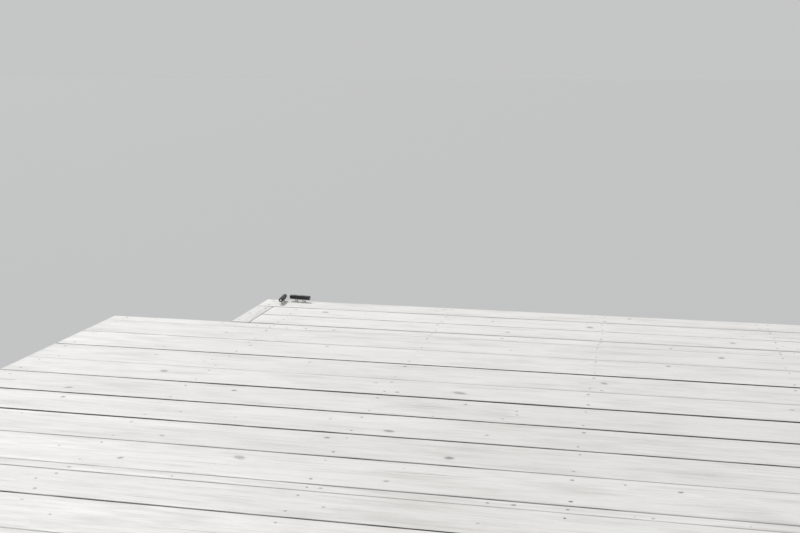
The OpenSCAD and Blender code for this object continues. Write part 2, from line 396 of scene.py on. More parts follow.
def wood(name, pale, dark, aged_and_shaded, ring_contrast=0.5, weather=0.8, relief=1.0, damp=None, specular=0.5):
    """Sawn or round timber.

    Every mesh that wears it has point attributes. "grain" is the place in the log: x along the fibres, and y
    and z across them, from the pith. "tone" sets one piece of timber off from the next, and is raised on the
    head planks as a painted sheen. "knot" rises to 1 in the middle of a knot, and "stain_and_shade" to 1 in
    deep dirt, and in the joints between planks it holds painted shade too. pale and dark are early and late
    wood, and aged_and_shaded is the colour of faces that look down or sideways: less bleached, and darker as
    painted shade.
    damp is a height up to which timber is dark and wet."""
    p = Paint(name, specular=specular)
    grain = p.attribute("grain", "Vector")
    noises = wood_noises(p, grain)
    late = late_wood(p, grain, noises)

    # Faces that look up are bleached. Faces that look down or sideways are darker: partly less bleached,
    # partly painted shade.
    sunlit = p.mix(p.times(late, ring_contrast), pale, dark)
    lines = p.add(p.times(late, 0.5), p.spread(noises.streak, 0.40, 0.66, 0.0, 0.5))
    unbleached_and_shaded = p.mix(lines, shade(aged_and_shaded, 1.18), shade(aged_and_shaded, 0.58))
    facing_up = p.split(p.geometry("True Normal"))[2]
    colour = p.mix(p.spread(facing_up, 0.65, -0.20, 0.0, 0.90), sunlit, unbleached_and_shaded)
    colour = knotted(p, noises, weathered(p, noises, colour, weather))

    # Dirt and rust darken the colour, and in the joints between planks so does painted shade.
    stain_and_shade = p.times(p.attribute("stain_and_shade"), p.math("MULTIPLY_ADD", noises.fine, 1.3, 0.40))
    colour = p.mix(p.times(p.spread(stain_and_shade, 0.08, 0.95), 0.94), colour, DIRT_AND_SHADE_COLOUR)
    toned = p.node("HueSaturation")
    p.put(toned.inputs["Color"], colour)
    p.put(toned.inputs["Value"], p.attribute("tone"))
    colour = toned.outputs[0]

    roughness = p.spread(noises.fine, 0.3, 0.8, 0.50, 0.72)
    if damp:
        height = p.shaken(p.split(p.geometry("Position"))[2], noises.patch, 0.10)
        tide = p.spread(height, damp * 0.45, damp)
        wet = p.spread(height, damp * 0.20, damp * 0.50)
        colour = p.mix(tide, p.mix(wet, WET_COLOUR, SLIMY_COLOUR), colour)
        roughness = p.times(roughness, p.spread(tide, 0.0, 1.0, 0.62, 1.0))

    ridges = p.add(p.add(p.times(late, 0.55), p.times(noises.fibre, 0.45)), p.times(noises.streak, 0.5))
    normal = p.bump(ridges, 0.4 * MM * relief)
    normal = p.bump(noises.patch, 1.2 * MM * relief, 0.6, normal)
    return p.finish(colour, normal, roughness)


def iron():
    """Black-finished cast iron, worn to the metal on its high edges, with a little rust."""
    p = Paint("cleat_iron")
    place = p.geometry("Position")
    cast = p.noise(place, 900.0, 3.0, 0.6)
    blotch = p.noise(place, 70.0, 3.0, 0.6)
    worn = p.spread(p.shaken(p.geometry("Pointiness"), blotch, 0.08), 0.53, 0.60)
    rusty = p.spread(blotch, 0.56, 0.72)
    colour = p.mix(p.times(rusty, 0.5), BLACK_IRON, RUSTY_IRON)
    colour = p.mix(p.times(worn, 0.6), colour, BARE_IRON)
    return p.finish(colour, p.bump(cast, 0.25 * MM), p.spread(blotch, 0.3, 0.75, 0.34, 0.62))


def steel(name, bright, dull, rust_from):
    """Steel of bolts and screws, dulled and rusting in places, where its noise is over rust_from."""
    p = Paint(name, metallic=0.75)
    place = p.geometry("Position")
    spangle = p.noise(place, 260.0, 2.0, 0.5)
    blotch = p.noise(place, 38.0, 4.0, 0.65)
    colour = p.mix(spangle, dull, bright)
    colour = p.mix(p.spread(blotch, rust_from, rust_from + 0.19), colour, RUSTY_STEEL)
    return p.finish(colour, p.bump(spangle, 0.15 * MM), p.spread(blotch, 0.35, 0.70, 0.45, 0.85))


def make_materials():
    return {
        "deck": wood("bleached_deck", (0.880, 0.873, 0.860), (0.740, 0.727, 0.705), (0.500, 0.488, 0.465),
                     ring_contrast=0.45, weather=0.62, specular=0.9),
        "edge": wood("bleached_edge", (0.890, 0.884, 0.872), (0.760, 0.747, 0.725), (0.520, 0.508, 0.485),
                     ring_contrast=0.40, weather=0.50, specular=0.9),
        "joist": wood("weathered_joist", (0.520, 0.485, 0.440), (0.330, 0.295, 0.255),
                      (0.370, 0.345, 0.312)),
        "cap": wood("weathered_cap", (0.480, 0.445, 0.400), (0.290, 0.260, 0.225), (0.330, 0.308, 0.278)),
        "brace": wood("weathered_brace", (0.500, 0.465, 0.420), (0.310, 0.275, 0.240),
                      (0.350, 0.326, 0.294), damp=0.22),
        "log": wood("damp_log", (0.400, 0.355, 0.300), (0.215, 0.182, 0.148), (0.260, 0.236, 0.206),
                    ring_contrast=0.6, weather=1.0, relief=2.2, damp=0.42),
        "iron": iron(),
        "bolt": steel("dull_steel", (0.36, 0.365, 0.37), (0.24, 0.245, 0.25), 0.47),
        "screw": steel("bright_steel", (0.62, 0.62, 0.61), (0.48, 0.48, 0.475), 0.60),
        "post": steel("polished_steel", (0.92, 0.92, 0.91), (0.84, 0.84, 0.83), 0.68),
    }


# Meshes

POINT_VALUES = ("tone", "knot", "stain_and_shade")
SHARP_ANGLE = math.radians(38)


def layers_of(bm):
    """The point attributes that the wood materials read."""
    layers = {"grain": bm.verts.layers.float_vector.new("grain")}
    for name in POINT_VALUES:
        layers[name] = bm.verts.layers.float.new(name)
    return layers


def make_piece(bm, name, material, replaced=()):
    """Makes a mesh object that rides on the jetty, and frees the bmesh."""
    bmesh.ops.recalc_face_normals(bm, faces=bm.faces)
    mesh = bpy.data.meshes.new(name)
    bm.to_mesh(mesh)
    bm.free()
    mesh.shade_smooth()
    mesh.set_sharp_from_angle(angle=SHARP_ANGLE)
    mesh.materials.append(material)
    piece = bpy.data.objects.new(name, mesh)
    bpy.context.scene.collection.objects.link(piece)
    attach(piece, BODY)
    if replaced:
        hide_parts(*replaced)


def bridge(bm, ring_a, ring_b):
    """Faces between two closed rings of as many vertices."""
    for i in range(len(ring_a)):
        j = (i + 1) % len(ring_a)
        bm.faces.new((ring_a[i], ring_a[j], ring_b[j], ring_b[i]))


# Shapes that vary at random

def wander(*place):
    """A smooth random value from -1 to 1 at a place."""
    return noise.noise(Vector(place))


def bell(u, v, width):
    """1 where u and v are 0, falling off round there over about width."""
    return math.exp(-(u ** 2 + v ** 2) / width ** 2)


def clamp(value, low=0.0):
    """A value held between low and 1."""
    return max(low, min(1.0, value))


def between(values, share):
    """The value at a share of the way along evenly spaced values."""
    at = clamp(share) * (len(values) - 1)
    first = min(int(at), len(values) - 2)
    return values[first] + (values[first + 1] - values[first]) * (at - first)


# Sawn timbers. Names that end in MM are in millimetres.

# Screws: their holes, how far in from the edges their rows lie, how far off its line and row each may sit,
# and the stain round it, in rings of (share of the hole's radius, share of the stain)
SCREW_R = 4.5 * MM
SCREW_SIDES = 14
SCREW_HOLE_R = 4.8 * MM
SCREW_HOLE_DEPTH = 2.6 * MM
SCREW_INSET = 38 * MM
SCREW_SHARE = 0.31
SCREW_OFF_LINE_MM = (-7, 7)
SCREW_OFF_ROW_MM = (-5, 5)
SCREW_CLEAR = 14 * MM
SCREW_STAIN = (0.05, 0.55)
STAIN_RINGS = ((1.7, 0.45), (3.2, 0.0))

# Bolts: the room they need, the rust round them, and the rust that has run down from them
BOLT_STAIN_RINGS = (22 * MM, 30 * MM, 44 * MM)
BOLT_CLEAR = 46 * MM
BOLT_FROM_EDGE = 20 * MM
BOLT_FROM_FACE = 5 * MM
RUST = 0.42
RUST_REACH = 32 * MM
RUN = 0.34
RUN_WIDTH = 12 * MM
RUN_LENGTH = 60 * MM

# Knots. The rings of points round one are in shares of its core's radius.
KNOT_RINGS = (0.5, 1.0, 1.5, 2.1, 2.9)
KNOT_SIDES = 14
KNOT_STRETCH = (1.15, 1.8)
KNOT_REACH = KNOT_STRETCH[1] * KNOT_RINGS[-1]
KNOT_LEAN = 0.7
KNOT_RISE = 0.5 * MM
KNOT_TRIES = 80

# Drying cracks, and the splits that open at an end
CRACK_LONGEST = 0.6
CRACK_MARGIN = 0.02
CRACK_LEAN = 0.012
CRACK_STEP = 0.035
CRACK_WANDER = 1.2 * MM
CRACK_CLEAR = 8 * MM
CRACK_APART = 18 * MM
CRACK_DIRT = 0.55
SPLIT_ACROSS = (0.25, 0.75)
SPLIT_DEPTH = (0.03, 0.16)
SPLIT_HALF_MM = (0.5, 1.3)
SPLIT_LEAN_MM = (-4, 4)
SPLIT_CLEAR = 9 * MM
SPLIT_WAIST = 0.6
END_ZONE = 4 * MM

# Where the pith lay: at shares of a beam's width and thickness, and for a plank at a share of its width and
# at a height over its face
BEAM_PITH = (0.35, 0.65)
PLANK_PITH = (0.5, 0.42, 0.6, 0.35, 0.68, 1.25, -0.3)
PLANK_PITH_OFF = 0.02
PLANK_PITH_OVER = (0.018, 0.085)
PITH_SWAY = 0.010
PITH_RISE = 0.005
TAPER = (0.004, 0.012)

# Worn faces and edges. The bevel's rings are (inset, drop) in shares of the arris, with their dirt and
# painted shade.
CUP = (-0.85, 1.0)
FACE_WAVE = 0.25 * MM
CHIP_WIDE_MM = (8, 26)
CHIP_DEEP_MM = (0.6, 2.2)
BEVEL = ((0.78, 0.22, 0.85), (0.3, 0.75, 1.0), (0.0, 1.6, 1.0))
MITRE_END = 0.7

# The mesh of a face: how near to each other two points are one, and the room round the points between
SAME_POINT = 1e-7
SPOT_CLEAR = 2 * MM

# Joints between planks: their dirt and painted shade, and how far bent and worn edges close them
JOINT_DIRT_AND_SHADE = 0.85 / (6 * MM)
UNDARKENED_JOINT = 0.7 * MM
VERY_WIDE_JOINT = 11.5 * MM
VERY_WIDE_JOINT_DARKENING = 0.35
EDGE_DIRT_AND_SHADE = 0.12
PATCHY_DIRT_AND_SHADE = 0.35
JOINT_BOWS = 0.28
JOINT_WAVES = 0.14
NARROW = 60 * MM
STRIP_LEAN = 0.5
STRIP_TURNS_AT = 1.6
STRIP_TURNS_IN = 0.15
# How far these joints of the first bay are closed in the view, from the deck's left edge to its right one.
# Joint n lies beyond plank n, its two planks take half each, and below 0 it is wider than it was laid.
SEEN_FILL = {
    2: (0.75, 0.60, 0.35, 0.25, 0.15, -0.20, -0.20, 0.00, 0.00),
    3: (0.85, 0.85, 0.40, 0.00, 0.10),
    4: (0.90, 0.65, 0.00, 0.00, 0.00, 0.00, 0.00, 0.00, 0.00),
    6: (-0.65, -0.55, -0.35, -0.20, -0.15, 0.15, 0.00, 0.00, 0.00),
    7: (0.30, 0.20, 0.00, -0.65, -0.90, 0.50, 0.30, 0.20, 0.20),
    8: (0.95, 0.95, 0.95, 0.30, 0.10, 0.40, 0.40, 0.40, 0.40),
}

# Kinds of timber. knots and cracks are numbers in a metre, and knot_sizes and crack_half are millimetres.
# step is the spacing of the mesh along and across, and heart says that the pith is in the piece.
PLANK = SimpleNamespace(
    arris=3 * MM, back_arris=1.5 * MM, cup=1.3 * MM, wear=0.3 * MM, end_wear=0.9 * MM, chips=(2, 6),
    knots=2.4, knot_sizes=(2, 3, 3, 4, 4, 5, 6, 8, 11), splits=0.55,
    cracks=1.3, crack_length=(0.06, 0.42), crack_half=(0.3, 0.9), crack_depth=7 * MM,
    step=(46 * MM, 30 * MM), heart=False, tones=(0.955, 1.02),
)
# The planks of the head are toned brighter than the rest: a painted sheen, for the brighter look of far
# planks at a low angle.
HEAD_PLANK_PAINTED_SHEEN = SimpleNamespace(**{**vars(PLANK), "tones": (1.035, 1.065)})
BEAM = SimpleNamespace(
    arris=4 * MM, back_arris=4 * MM, cup=0.0, wear=0.5 * MM, end_wear=1.2 * MM, chips=(2, 7),
    knots=2.6, knot_sizes=(7, 10, 14, 18, 22), splits=0.5,
    cracks=1.6, crack_length=(0.15, 0.9), crack_half=(0.5, 1.9), crack_depth=16 * MM,
    step=(64 * MM, 42 * MM), heart=True, tones=(0.88, 1.08),
)
BATTEN = SimpleNamespace(
    arris=3 * MM, back_arris=3 * MM, cup=0.0, wear=0.4 * MM, end_wear=1.0 * MM, chips=(2, 5),
    knots=2.6, knot_sizes=(5, 7, 10, 13), splits=0.6,
    cracks=1.2, crack_length=(0.08, 0.45), crack_half=(0.4, 1.1), crack_depth=10 * MM,
    step=(56 * MM, 32 * MM), heart=False, tones=(0.90, 1.10),
)


def circle(u, v, radius, sides, stretch=1.0, lean=0.0):
    """Points round a circle, or round an oval that leans from the direction of u."""
    points = []
    cos, sin = math.cos(lean), math.sin(lean)
    for i in range(sides):
        a = 2 * math.pi * (i + 0.5) / sides
        x, y = radius * stretch * math.cos(a), radius * math.sin(a)
        points.append((u + x * cos - y * sin, v + x * sin + y * cos))
    return points


class Lie:
    """How a piece of even thickness lies. u runs along it, v across it, and w from its back to its face."""

    def __init__(self, origin, along, out, outline, thick):
        self.origin, self.along, self.out, self.thick = origin, along, out, thick
        self.across = out.cross(along)
        self.outline = outline
        self.length = max(u for u, v in outline)
        self.width = max(v for u, v in outline)

    def world(self, u, v, w):
        return self.origin + self.along * u + self.across * v + self.out * w

    def local(self, place):
        d = place - self.origin
        return d.dot(self.along), d.dot(self.across), d.dot(self.out)


def axis(i):
    return Vector([1.0 if n == i else 0.0 for n in range(3)])


def lie_of_plank(low, high):
    """A deck plank's place: face up, and along its longer side."""
    size = high - low
    if size.x > size.y:
        return Lie(low, axis(0), axis(2), [(0, 0), (size.x, 0), (size.x, size.y), (0, size.y)], size.z)
    corner = Vector((high.x, low.y, low.z))
    return Lie(corner, axis(1), axis(2), [(0, 0), (size.y, 0), (size.y, size.x), (0, size.x)], size.z)


def lie_of_prism(group):
    """The place of a solid with one outline all through its thinnest way. Its longest edge is along it."""
    low, high = corners(group)
    size = high - low
    thin = min(range(3), key=lambda i: size[i])
    first, second = (thin + 1) % 3, (thin + 2) % 3
    face = [v.co.copy() for v in group if v.co[thin] > high[thin] - WELD]
    middle = sum(face, Vector()) / len(face)
    face.sort(key=lambda p: math.atan2(p[second] - middle[second], p[first] - middle[first]))
    edges = [b - a for a, b in zip(face, face[1:] + face[:1])]
    along = max(edges, key=lambda edge: edge.length).normalized()
    if max(along, key=abs) < 0:
        along = -along
    out = axis(thin)
    across = out.cross(along)
    points = [((p - middle).dot(along), (p - middle).dot(across)) for p in face]
    u0, v0 = min(u for u, v in points), min(v for u, v in points)
    origin = middle + along * u0 + across * v0 - out * size[thin]
    return Lie(origin, along, out, [(u - u0, v - v0) for u, v in points], size[thin])


def beside(values, inward):
    """Of values kept by side, -1 or 1, the one at the edge with this inward direction across, or None."""
    return next((value for side, value in values.items() if side * inward < -MITRE_END), None)


class Net:
    """The points of a face that is to be filled with triangles, and the lines that its edges must follow."""

    def __init__(self):
        self.spots, self.edges, self.marks, self.stains_and_shades = [], [], {}, {}

    def loop(self, points, key=None, stain_and_shade=0.0):
        """Adds a closed line of points. With a key, it becomes edges."""
        ids = range(len(self.spots), len(self.spots) + len(points))
        self.spots.extend(Vector(p) for p in points)
        self.stains_and_shades.update({i: stain_and_shade for i in ids})
        if key:
            self.marks.update({i: (*key, i - ids[0]) for i in ids})
            self.edges.extend(zip(ids, (*ids[1:], ids[0])))
        return ids


class Timber:
    """One sawn piece, with its knots, drying cracks, split ends, screw holes and worn edges."""

    def __init__(self, lie, style, seed, screw_lines=(), bolts=(), joints=None, fills=None):
        """joints gives the width of the joint at side -1 or 1 of a plank, where there is one, and fills its
        row of SEEN_FILL, where there is one."""
        self.lie, self.style, self.rng = lie, style, random.Random(seed)
        self.length, self.width, self.thick = lie.length, lie.width, lie.thick
        self.joints, self.fills = joints or {}, fills or {}
        self.narrow = self.width < NARROW
        rng = self.rng
        self.tone = rng.uniform(*style.tones)
        self.cup = rng.uniform(*CUP) * style.cup
        self.phase = rng.uniform(0, 50)
        if style.heart:
            self.pith_v = rng.uniform(*BEAM_PITH) * self.width
            self.pith_over = -rng.uniform(*BEAM_PITH) * self.thick
        else:
            off = rng.choice(PLANK_PITH)
            self.pith_v = self.width * off + rng.uniform(-PLANK_PITH_OFF, PLANK_PITH_OFF)
            self.pith_over = rng.uniform(*PLANK_PITH_OVER)
        self.taper = rng.choice((-1, 1)) * rng.uniform(*TAPER)
        down = Vector((-lie.along.z, -lie.across.z))
        self.down = down.normalized() if down.length > 0.5 else None
        self.bolts = [p[:2] for p in (lie.local(place) for place in bolts) if self.touches(p)]
        self.screws = self.place_screws(screw_lines)
        self.screw_stains = [rng.uniform(*SCREW_STAIN) for _ in self.screws]
        self.taken = [(u, v, SCREW_CLEAR) for u, v in self.screws]
        self.taken += [(u, v, BOLT_CLEAR) for u, v in self.bolts]
        self.splits = [self.place_split(end) for end in (0, 1)]
        self.knots = self.place_knots()
        self.cracks = {"face": self.place_cracks(), "back": self.place_cracks() if style.heart else []}

    def touches(self, place):
        """Whether a bolt's washer at this place lies on the face or the back."""
        u, v, w = place
        return self.depth_inside(u, v) > BOLT_FROM_EDGE and min(abs(w), abs(w - self.thick)) < BOLT_FROM_FACE

    def depth_inside(self, u, v):
        """How far a point lies inside the outline."""
        corner = self.lie.outline
        depths = []
        for (u0, v0), (u1, v1) in zip(corner, corner[1:] + corner[:1]):
            run = math.hypot(u1 - u0, v1 - v0)
            depths.append(((u1 - u0) * (v - v0) - (v1 - v0) * (u - u0)) / run)
        return min(depths)

    def free(self, u, v, radius):
        """Whether a round spot keeps clear of the edges and of everything that is placed."""
        if self.depth_inside(u, v) < radius + self.style.arris:
            return False
        return all(math.hypot(u - a, v - b) > radius + r for a, b, r in self.taken)

    def place_screws(self, lines):
        """Two screws at each line across the piece, or one in the middle of a narrow strip."""
        inset = self.width / 2 if self.narrow else min(SCREW_INSET, SCREW_SHARE * self.width)
        rows = (inset,) if self.narrow else (inset, self.width - inset)
        spots = []
        for line in lines:
            for row in rows:
                u = line + self.rng.uniform(*SCREW_OFF_LINE_MM) * MM
                spots.append((u, row + self.rng.uniform(*SCREW_OFF_ROW_MM) * MM))
        return spots

    def end_at(self, end):
        """Where end 0 or 1 lies along the piece, and the way in from it."""
        return (0.0, 1) if end == 0 else (self.length, -1)

    def place_split(self, end):
        """A crack through the piece that opens at one end: its place across, depth, lean and half width."""
        rng = self.rng
        at, deep = rng.uniform(*SPLIT_ACROSS) * self.width, rng.uniform(*SPLIT_DEPTH)
        half, lean = rng.uniform(*SPLIT_HALF_MM) * MM, rng.uniform(*SPLIT_LEAN_MM) * MM
        start, way = self.end_at(end)
        square = all(abs(u - start) < WELD for u, v in self.lie.outline if way * (u - self.length / 2) < 0)
        path = [(start + way * deep * t, at + lean * t) for t in (0.0, 0.25, 0.5, 0.75, 1.0)]
        clear = all(math.hypot(u - a, v - b) > r + SPLIT_CLEAR for u, v in path for a, b, r in self.taken)
        if rng.random() > self.style.splits or not clear or not square:
            return None
        self.taken.extend((u, v, SPLIT_CLEAR) for u, v in path)
        return at, deep, lean, half

    def place_knots(self):
        """Knots, each as (u, v, radius of its core, stretch along the piece, lean)."""
        knots, rng = [], self.rng
        wanted = self.style.knots * self.length * rng.uniform(0.6, 1.3)
        for _ in range(KNOT_TRIES):
            if len(knots) >= wanted:
                break
            radius = rng.choice(self.style.knot_sizes) * MM * rng.uniform(0.85, 1.15)
            u = rng.uniform(0, self.length)
            v = rng.uniform(0, self.width)
            stretch = rng.uniform(*KNOT_STRETCH)
            lean = rng.uniform(-KNOT_LEAN, KNOT_LEAN)
            reach = KNOT_RINGS[-1] * radius * stretch
            if self.free(u, v, reach):
                knots.append((u, v, radius, stretch, lean))
                self.taken.append((u, v, reach))
        return knots

    def place_cracks(self):
        """Drying cracks, each as a list of stations (u, v, half width)."""
        cracks, rng = [], self.rng
        for _ in range(round(self.style.cracks * self.length * rng.uniform(0.6, 1.4))):
            long = min(rng.uniform(*self.style.crack_length), CRACK_LONGEST * self.length)
            widest = rng.uniform(*self.style.crack_half) * MM
            u0 = rng.uniform(CRACK_MARGIN, self.length - long - CRACK_MARGIN)
            v0 = rng.uniform(CRACK_MARGIN, self.width - CRACK_MARGIN)
            lean = rng.uniform(-CRACK_LEAN, CRACK_LEAN)
            count = max(5, int(long / CRACK_STEP))
            stations = []
            for i in range(count + 1):
                t = i / count
                v = v0 + lean * t + CRACK_WANDER * wander(self.phase, u0 + 14 * t * long, 0.5)
                half = widest * math.sin(math.pi * t) ** 0.6 if 0 < i < count else 0.0
                stations.append((u0 + t * long, v, half))
            if all(self.free(u, v, CRACK_CLEAR) for u, v, _ in stations):
                cracks.append(stations)
                self.taken.extend((u, v, CRACK_APART) for u, v, _ in stations)
        return cracks

    def near_knots(self, u, v):
        return [knot for knot in self.knots if math.hypot(u - knot[0], v - knot[1]) < KNOT_REACH * knot[2]]

    def crown(self, u, v):
        """Height of the worn and cupped face."""
        s = 2 * v / self.width - 1
        fall = max(0.0, self.cup) * (1 - s * s) + max(0.0, -self.cup) * s * s
        wave = FACE_WAVE * (1 + wander(u * 3 + self.phase, v * 12, 0.3))
        rise = sum(KNOT_RISE * bell(u - a, v - b, 1.2 * r) for a, b, r, _, _ in self.near_knots(u, v))
        return self.thick - fall - wave + min(rise, fall + wave)

    def hollow(self, u, v):
        """Height of the back."""
        return FACE_WAVE * (1 + wander(u * 3, v * 12 + self.phase, 2.3))

    def grain(self, u, v, w):
        """Where a point lay in the log. The fibres part round each knot."""
        middle = self.pith_v + PITH_SWAY * math.sin(1.1 * u + self.phase)
        over = self.pith_over + self.taper * u + PITH_RISE * math.sin(2.3 * u + 2 * self.phase)
        shift = 0.0
        for a, b, r, _, _ in self.near_knots(u, v):
            shift += (v - b) * 0.8 * bell((u - a) / 1.7, v - b, 1.35 * r)
        return Vector((u + 7.3 * self.phase, v - middle - shift, w - self.thick - over))

    def knot_value(self, u, v):
        """1 in the middle of a knot, and 0 where its ring of darker wood ends."""
        value = 0.0
        for a, b, r, stretch, lean in self.near_knots(u, v):
            gap = Vector((u - a, v - b, 0)) @ Matrix.Rotation(lean, 3, "Z")
            value = max(value, 1 - math.hypot(gap.x / stretch, gap.y) / (KNOT_RINGS[-1] * r))
        return value

    def bolt_stain(self, u, v):
        """Rust round the bolts, and where it has run down from them."""
        value = 0.0
        for a, b in self.bolts:
            gap = Vector((u - a, v - b))
            value = max(value, RUST * bell(gap.x, gap.y, RUST_REACH))
            if self.down and gap.dot(self.down) > 0:
                fading = math.exp(-gap.dot(self.down) / RUN_LENGTH)
                value = max(value, RUN * bell(gap.cross(self.down), 0, RUN_WIDTH) * fading)
        return value

    def place_chips(self):
        """Chips out of the long edges, each as (u, side, half width, depth)."""
        rng = self.rng
        return [(rng.uniform(0, self.length), rng.choice((-1, 1)),
                 rng.uniform(*CHIP_WIDE_MM) * MM, rng.uniform(*CHIP_DEEP_MM) * MM)
                for _ in range(rng.randint(*self.style.chips))]

    def worn(self, p, way, chips):
        """How far the edge that has this inward way has worn back at p."""
        if abs(way.x) > MITRE_END:
            return self.style.end_wear * (1 + wander(p.y * 9, p.x + self.phase, 1.5))
        bite = sum(deep * bell(p.x - at, 0, wide) for at, side, wide, deep in chips if side * way.y > 0)
        wear = self.style.wear * (1 + wander(p.x * 6, way.y * 5 + self.phase, 0))
        return wear + bite - self.swell(p.x, way.y)

    def edge_points(self):
        """The worn outline, anticlockwise, as (u, v, inward u, inward v)."""
        corner = [Vector(p) for p in self.lie.outline]
        runs = [(b - a).normalized() for a, b in zip(corner, corner[1:] + corner[:1])]
        ways = [Vector((-run.y, run.x)) for run in runs]
        chips = self.place_chips()
        points = []
        for i, a in enumerate(corner):
            b = corner[(i + 1) % len(corner)]
            before, after = ways[i - 1], ways[i]
            lean = before.dot(after)
            wear_before, wear_after = self.worn(a, before, chips), self.worn(a, after, chips)
            shift = before * (wear_before - lean * wear_after) + after * (wear_after - lean * wear_before)
            points.append((a + shift / (1 - lean * lean), (before + after) / (1 + lean)))
            step = self.style.step[1] if abs(after.x) > MITRE_END else self.style.step[0]
            steps = max(3, round((b - a).length / step))
            for k in range(1, steps):
                p = a.lerp(b, k / steps)
                points.append((p + after * self.worn(p, after, chips), after))
        outline = [(p.x, p.y, way.x, way.y) for p, way in points]
        for end in (0, 1):
            if self.splits[end]:
                outline = self.split_end(outline, end)
        return outline

    def swell(self, u, inward):
        """How far the edge at u stands out into its joint, where the plank has bent or swollen."""
        width = beside(self.joints, inward) or 0.0
        if self.narrow:
            # A strip is bent: its left part leans on the plank beyond it, and the rest on the nearer one.
            turned = 1 / (1 + math.exp((STRIP_TURNS_AT - u) / STRIP_TURNS_IN))
            return STRIP_LEAN * (1 - turned if inward < 0 else turned) * width
        bow = 2.4 * wander(u * 0.7, self.phase, inward)
        wave = 2.0 * wander(u * 4, self.phase, inward)
        fill = beside(self.fills, inward)
        if fill:
            return (between(fill, u / self.length) + JOINT_WAVES * clamp(wave, -1.0)) / 2 * width
        return (JOINT_BOWS * clamp(bow) + JOINT_WAVES * clamp(wave)) * width

    def joint_dirt_and_shade(self, u, inward):
        """How dark the edge at u is painted, with dirt and painted shade. An open joint is darkest, and a
        very wide one is darkened less.
        """
        width = beside(self.joints, inward)
        if width is None:
            return 0.0
        if width > VERY_WIDE_JOINT:
            return VERY_WIDE_JOINT_DARKENING
        patchy = PATCHY_DIRT_AND_SHADE * wander(u * 5, self.phase, inward)
        return clamp(JOINT_DIRT_AND_SHADE * (width - self.swell(u, inward) - UNDARKENED_JOINT) + patchy)

    def split_end(self, outline, end):
        """Lets a crack into one end of the outline."""
        at, deep, lean, half = self.splits[end]
        start, way = self.end_at(end)
        at_end = [abs(p[0] - start) < END_ZONE for p in outline]
        mouth = start + way * self.style.end_wear
        path = [
            (mouth, at - half, way, 0.0),
            (start + way * deep / 2, at + lean / 2 - SPLIT_WAIST * half, 0.0, 0.0),
            (start + way * deep, at + lean, 0.0, 0.0),
            (start + way * deep / 2, at + lean / 2 + SPLIT_WAIST * half, 0.0, 0.0),
            (mouth, at + half, way, 0.0),
        ]
        if end == 0:
            path.reverse()
        kept, placed = [], False
        for i, p in enumerate(outline):
            if at_end[i] and abs(p[1] - at) < 5 * half:
                continue
            if not placed and at_end[i] and kept and abs(kept[-1][0] - start) < END_ZONE:
                if (kept[-1][1] - at) * (p[1] - at) < 0:
                    kept.extend(path)
                    placed = True
            kept.append(p)
        if not placed and at_end[0] and (kept[-1][1] - at) * (outline[0][1] - at) < 0:
            kept.extend(path)
        return kept

    def build(self, bm, layers):
        outline = self.edge_points()

        def vert(u, v, w, knot=0.0, stain_and_shade=0.0):
            made = bm.verts.new(self.lie.world(u, v, w))
            made[layers["grain"]] = self.grain(u, v, w)
            made[layers["tone"]] = self.tone
            made[layers["knot"]] = knot
            made[layers["stain_and_shade"]] = stain_and_shade
            return made

        def ring(inset, w, dirt_and_shade=1.0):
            """An edge loop round the piece. Its sides in a joint are painted dark, with dirt and painted
            shade.
            """
            return [vert(u + iu * inset, v + iv * inset, w, 0.0, dirt_and_shade * self.joint_dirt_and_shade(u, iv))
                    for u, v, iu, iv in outline]

        arris = self.style.arris
        rings = [self.fill(bm, vert, outline, "face")]
        rings += [ring(inset * arris, self.thick - drop * arris, dirt_and_shade) for inset, drop, dirt_and_shade in BEVEL]
        rings += [ring(0.0, self.style.back_arris), self.fill(bm, vert, outline, "back")]
        for a, b in zip(rings, rings[1:]):
            bridge(bm, a, b)

    def trace(self, outline, side, detailed):
        """The net of the face or the back, with lines round its screws, cracks, knots and bolts."""
        net = Net()
        inset = self.style.arris if side == "face" else self.style.back_arris
        rim = net.loop([(u + iu * inset, v + iv * inset) for u, v, iu, iv in outline], ("edge",))
        # The face's rim beside a joint takes a little of the joint's dirt and painted shade.
        net.stains_and_shades.update({i: EDGE_DIRT_AND_SHADE * self.joint_dirt_and_shade(outline[i][0], outline[i][3]) for i in rim})
        for n, (u, v) in enumerate(self.screws if side == "face" else ()):
            stain_and_shade = self.screw_stains[n]
            net.loop(circle(u, v, SCREW_HOLE_R, SCREW_SIDES), ("screw", n), stain_and_shade)
            for share, value in STAIN_RINGS:
                net.loop(circle(u, v, SCREW_HOLE_R * share, SCREW_SIDES), stain_and_shade=value * stain_and_shade)
        for n, stations in enumerate(self.cracks[side]):
            there = [(u, v - half) for u, v, half in stations]
            back = [(u, v + half) for u, v, half in stations[-2:0:-1]]
            net.loop(there + back, ("crack", n))
        if detailed:
            for u, v, r, stretch, lean in self.knots:
                net.spots.append(Vector((u, v)))
                for share in KNOT_RINGS:
                    net.loop(circle(u, v, r * share, KNOT_SIDES, stretch, lean))
            for u, v in self.bolts:
                for r in BOLT_STAIN_RINGS:
                    net.loop([p for p in circle(u, v, r, KNOT_SIDES) if self.depth_inside(*p) > 2 * inset])
        net.spots.extend(self.spots_between())
        return net

    def spots_between(self):
        """More points all over the face, clear of what is on it."""
        rows = max(2, round(self.width / self.style.step[1]))
        columns = max(4, round(self.length / self.style.step[0]))
        spots = []
        for i in range(1, columns):
            for j in range(1, rows):
                u = self.length * (i + 0.5 * (j % 2) - 0.25) / columns
                v = self.width * j / rows
                if self.free(u, v, SPOT_CLEAR):
                    spots.append(Vector((u, v)))
        return spots

